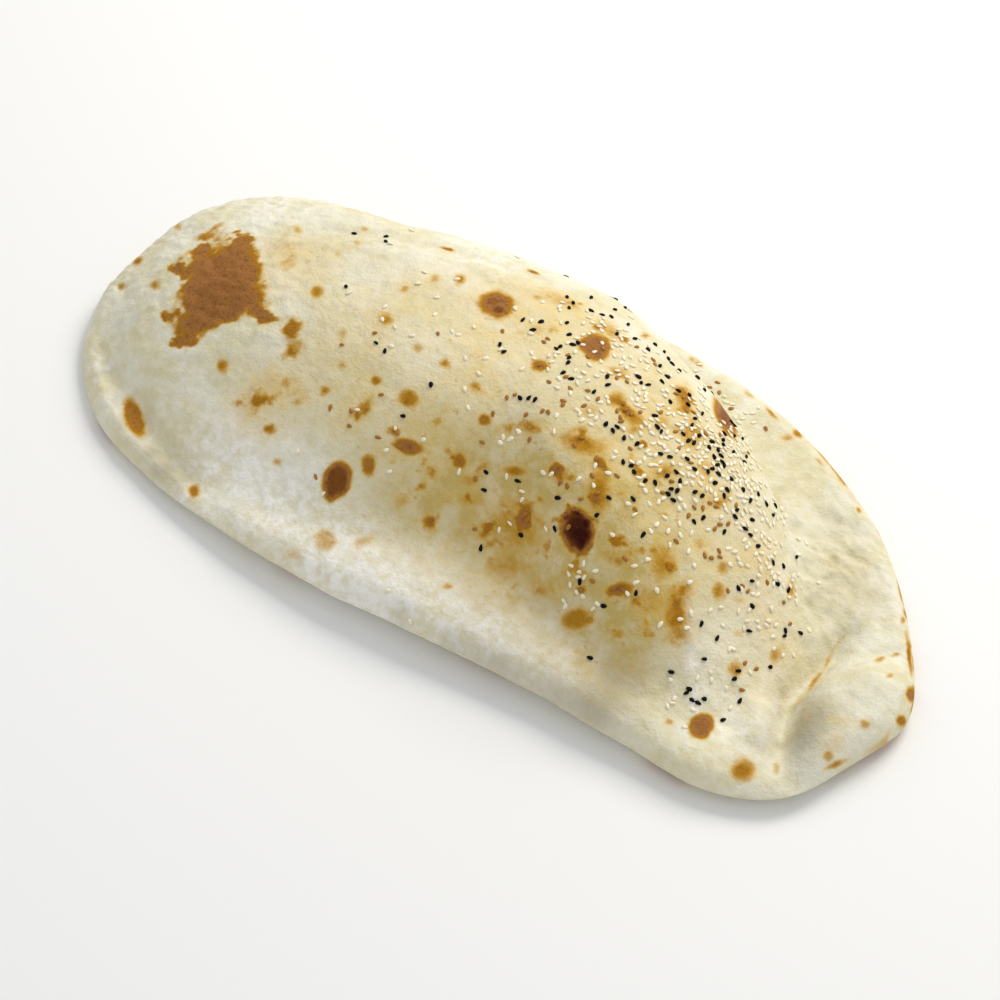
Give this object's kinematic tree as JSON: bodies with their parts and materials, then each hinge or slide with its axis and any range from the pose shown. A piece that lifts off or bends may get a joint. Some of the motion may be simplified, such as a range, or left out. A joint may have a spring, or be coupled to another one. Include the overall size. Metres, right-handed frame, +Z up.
{
  "type": "puffed lavash flatbread",
  "caption": "Whole puffed lavash flatbread: a long oval dome of thin baked dough with a narrow rim, a rolled near side, a small lobe at one end and seeds along its crest.",
  "frame": {"origin": "middle of the bread's box in plan, on the surface that it rests on", "axes": "+X along the bread to its flat right end, +Y to the far side of the dome, +Z up"},
  "size_m": [0.442, 0.2177, 0.0773],
  "materials": {
    "baked_crust": "matte, cream with golden and brown scorch marks"
  },
  "bodies": {
    "root": {"lavash": "baked_crust"}
  },
  "joints": []
}
